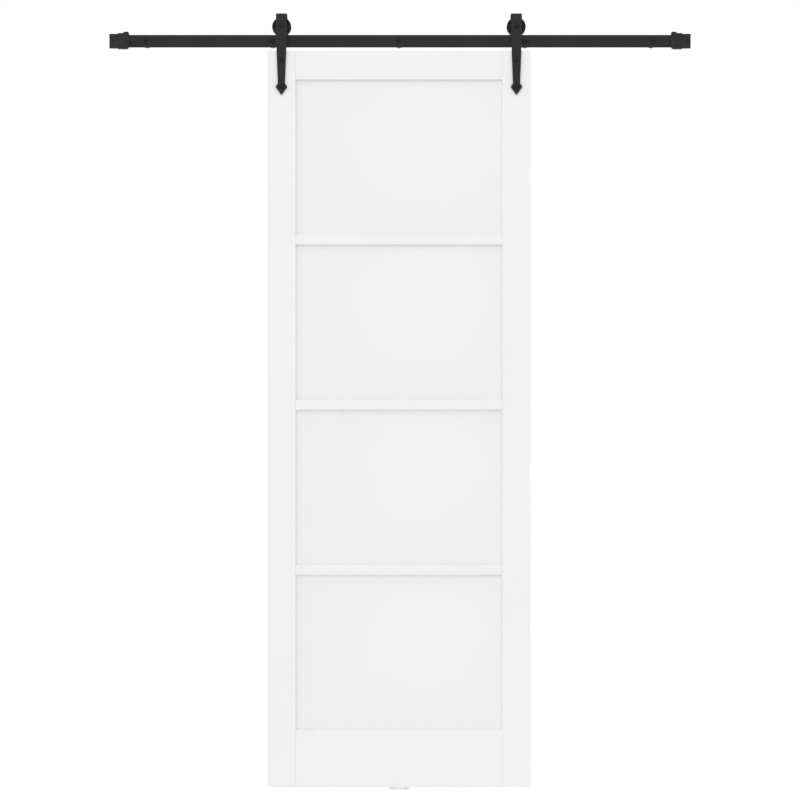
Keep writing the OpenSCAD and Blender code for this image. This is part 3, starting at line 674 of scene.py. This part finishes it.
def wood_screw(mesh, place, head_r, neck_r, held, thread_r, length, tip_l):
    """A countersunk wood screw with a six-lobed recess, a neck and a thread that runs out to its point."""
    lobes = six_lobes(head_r * RECESS_SIZE)
    rings = [(head_r * RECESS_POINT, 0), (head_r * RECESS_DEPTH, lobes), (0.4 * EASE, lobes),
             (0, head_r * RECESS_MOUTH), (0, head_r - 0.5 * EASE), (0.4 * EASE, head_r),
             (head_r - neck_r, neck_r), (held, neck_r)]
    body_l = length - held - tip_l
    rings += thread(held, body_l, WOOD_SCREW_PITCH, WOOD_SCREW_THREAD_DEPTH, thread_r, run_in=1.0)
    tip = thread(held + body_l, tip_l, WOOD_SCREW_PITCH, WOOD_SCREW_THREAD_DEPTH, thread_r, POINT_R,
                 FULL_AT_ONCE)
    rings += tip[1:] + [(length, 0)]
    skin(mesh, rings, place, segments=SCREW_SEGMENTS)


GUIDE_HEAD_R = 3.8 * MM
DISC_HEAD_R = 4.2 * MM
SCREW_R = 2.0 * MM
SCREW_NECK_R = 1.7 * MM
SCREW_TIP_L = 3.0 * MM


def guide_screws():
    mesh = bmesh.new()
    low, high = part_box("floor_guide_screws")
    for x in (low.x + GUIDE_HEAD_R, high.x - GUIDE_HEAD_R):
        for y in (low.y + GUIDE_HEAD_R, high.y - GUIDE_HEAD_R):
            place = downward(Vector((x, y, high.z)))
            wood_screw(mesh, place, GUIDE_HEAD_R, SCREW_NECK_R, high.z - FLOOR_Z, SCREW_R,
                       high.z - low.z, SCREW_TIP_L)
    make_piece("floor_guide_screws_threaded", "rail", mesh, PAINTED_SCREW,
               ["floor_guide_screws"])


def disc_screws():
    mesh = bmesh.new()
    low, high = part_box("anti_jump_screws")
    y = (low.y + high.y) / 2
    thread_r = SCREW_R - THREAD_GAP
    for x in (low.x + DISC_HEAD_R, high.x - DISC_HEAD_R):
        place = downward(Vector((x, y, high.z)))
        wood_screw(mesh, place, DISC_HEAD_R, SCREW_NECK_R, high.z - LEAF_HIGH.z, thread_r,
                   high.z - low.z, SCREW_TIP_L)
    make_piece("anti_jump_screws_threaded", "leaf", mesh, ZINC, ["anti_jump_screws"])


# ---- Wheels ----

BEARING_R = 11.0 * MM
BEARING_HALF = 3.5 * MM
SHOULDER_R = 9.5 * MM
SHOULDER_W = 1.2 * MM
TREAD_R = 23.0 * MM
TREAD_HALF = 3.6 * MM
GROOVE_FLARE = 1.0 * MM
WEB_IN_R = 15.0 * MM
WEB_OUT_R = 20.5 * MM
WEB_DEPTH = 2.0 * MM
RIM_ROUND = 1.2 * MM
RIM_STEPS = 6
CIRCLIP_DEPTH = 1.0 * MM
CIRCLIP_SLOT = 1.1 * MM
FILLET = 0.5 * MM


def wheel(side):
    """A moulded wheel: round flanges, a running groove, a sunk web on each face, the bearing's seat."""
    node = f"wheel_{side}"
    low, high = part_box(node)
    half = (high.y - low.y) / 2
    flange_r = (high.x - low.x) / 2
    front = -half
    back = half
    stop = -BEARING_HALF - SHOULDER_W
    rings = [(-BEARING_HALF, BEARING_R), (-BEARING_HALF, SHOULDER_R + EASE),
             (-BEARING_HALF - EASE, SHOULDER_R), (stop + EASE, SHOULDER_R), (stop, SHOULDER_R + EASE),
             (stop, BEARING_R), (front + FILLET, BEARING_R)]
    rings += face_rings(front, 1, flange_r)
    rings += arc((front + RIM_ROUND, flange_r - RIM_ROUND), RIM_ROUND, 180, 90, RIM_STEPS)
    mouth = TREAD_HALF + GROOVE_FLARE
    groove = [(TREAD_HALF - FILLET, TREAD_R), (TREAD_HALF + 0.2 * FILLET, TREAD_R + FILLET),
              (mouth, flange_r - 0.4 * FILLET), (mouth + FILLET, flange_r)]
    rings += [(-distance, radius) for distance, radius in reversed(groove)] + groove
    rings += arc((back - RIM_ROUND, flange_r - RIM_ROUND), RIM_ROUND, 90, 0, RIM_STEPS)
    rings += face_rings(back, -1, flange_r)[::-1]
    slot_r = BEARING_R + CIRCLIP_DEPTH
    slot_end = BEARING_HALF + CIRCLIP_SLOT
    rings += [(back - FILLET, BEARING_R), (slot_end, BEARING_R), (slot_end, slot_r),
              (BEARING_HALF, slot_r), (BEARING_HALF, BEARING_R)]
    mesh = bmesh.new()
    skin(mesh, rings, into_wall(AXLES[side]), closed=True, segments=2 * SEGMENTS)
    make_piece(f"{node}_moulded", f"roller_{side}", mesh, NYLON, [node])


def face_rings(face, inward, flange_r):
    """The rings of one face, from the hub's chamfered mouth across the sunk web to the rim."""
    deep = face + inward * WEB_DEPTH
    lip = inward * FILLET
    return [(face, BEARING_R + FILLET), (face, WEB_IN_R - FILLET),
            (face + 0.4 * lip, WEB_IN_R - 0.3 * FILLET), (deep - lip, WEB_IN_R),
            (deep, WEB_IN_R + FILLET), (deep, WEB_OUT_R - FILLET),
            (deep - lip, WEB_OUT_R), (face + 0.4 * lip, WEB_OUT_R + 0.3 * FILLET),
            (face, WEB_OUT_R + FILLET), (face, flange_r - RIM_ROUND - FILLET)]


leaf_bolts()
leaf_nuts()
wall_bolts()
guide_screws()
disc_screws()
for side in SIDES:
    axle_bolt(side)
    axle_nut(side)
    wheel(side)

# ---- Stage, light and camera ----

FLOOR_REACH = 60.0
FLOOR_GLOW = 0.90


def pale_floor():
    """A glowing white floor, seen by the camera and through clear pieces but in no reflection."""
    data = bpy.data.meshes.new("floor")
    reach = FLOOR_REACH / 2
    corners = [(-reach, -reach, FLOOR_Z), (reach, -reach, FLOOR_Z),
               (reach, reach, FLOOR_Z), (-reach, reach, FLOOR_Z)]
    data.from_pydata(corners, [], [(0, 1, 2, 3)])
    floor = bpy.data.objects.new("floor", data)
    bpy.context.scene.collection.objects.link(floor)
    s = Shading("pale_floor")
    colour = s.blend(s.noise(1.5, 3), grey(0.12), grey(0.14))
    s.shader.inputs["Emission Color"].default_value = grey(1.0)
    s.shader.inputs["Emission Strength"].default_value = FLOOR_GLOW
    roughness = s.remap(s.noise(8, 3), 0.3, 0.7, 0.75, 0.85)
    grain = s.bump(s.noise(40, 2), 0.1 * MM)
    data.materials.append(s.finish(colour, roughness, grain, Specular_IOR_Level=0.0))
    floor.visible_diffuse = False
    floor.visible_glossy = False


BACKGROUND = 1.0
ROOM_LIGHT = 0.90
BRIGHTER_SIDE = Vector((-0.12, 0.0, 0.06))  # the room is brighter to the left and above
KEY_LIGHT = 0.44
KEY_ANGLE = 60
KEY_FROM = Vector((-0.15, -0.90, 0.60))


def lights():
    """A white room, seen brighter than it lights, and one broad key from the front, above and left."""
    world = bpy.data.worlds.new("white_room")
    bpy.context.scene.world = world
    world.use_nodes = True
    tree = world.node_tree
    background = tree.nodes["Background"]
    background.inputs["Color"].default_value = grey(1.0)
    direction = tree.nodes.new("ShaderNodeTexCoord").outputs["Generated"]
    slope = tree.nodes.new("ShaderNodeVectorMath")
    slope.operation = "DOT_PRODUCT"
    slope.inputs[1].default_value = BRIGHTER_SIDE * ROOM_LIGHT
    tree.links.new(direction, slope.inputs[0])
    room = tree.nodes.new("ShaderNodeMath")
    room.operation = "ADD"
    room.inputs[1].default_value = ROOM_LIGHT
    tree.links.new(slope.outputs["Value"], room.inputs[0])
    seen = tree.nodes.new("ShaderNodeLightPath").outputs["Is Camera Ray"]
    level = tree.nodes.new("ShaderNodeMapRange")
    tree.links.new(room.outputs["Value"], level.inputs["To Min"])
    level.inputs["To Max"].default_value = BACKGROUND
    tree.links.new(seen, level.inputs["Value"])
    tree.links.new(level.outputs["Result"], background.inputs["Strength"])
    key = bpy.data.lights.new("key", "SUN")
    key.energy = KEY_LIGHT
    key.angle = math.radians(KEY_ANGLE)
    lamp = bpy.data.objects.new("key", key)
    bpy.context.scene.collection.objects.link(lamp)
    lamp.rotation_mode = "QUATERNION"
    lamp.rotation_quaternion = (-KEY_FROM).to_track_quat("-Z", "Y")


CAMERA_DISTANCE = 5.5       # from the front face of the leaf
VIEW_WIDTH = 2.281          # seen at that face
CAMERA_RIGHT = 3.0 * MM     # of the middle of the leaf
CAMERA_UP = 54.0 * MM       # above the middle of the leaf


def camera():
    lens = bpy.data.cameras.new("camera")
    lens.sensor_width = 36.0
    lens.lens = lens.sensor_width * CAMERA_DISTANCE / VIEW_WIDTH
    eye = bpy.data.objects.new("camera", lens)
    bpy.context.scene.collection.objects.link(eye)
    eye.location = (LEAF_MIDDLE.x + CAMERA_RIGHT, LEAF_LOW.y - CAMERA_DISTANCE, LEAF_MIDDLE.z + CAMERA_UP)
    eye.rotation_euler = (math.radians(90), 0, 0)
    bpy.context.scene.camera = eye


pale_floor()
lights()
camera()
bpy.context.scene.view_settings.view_transform = "Standard"
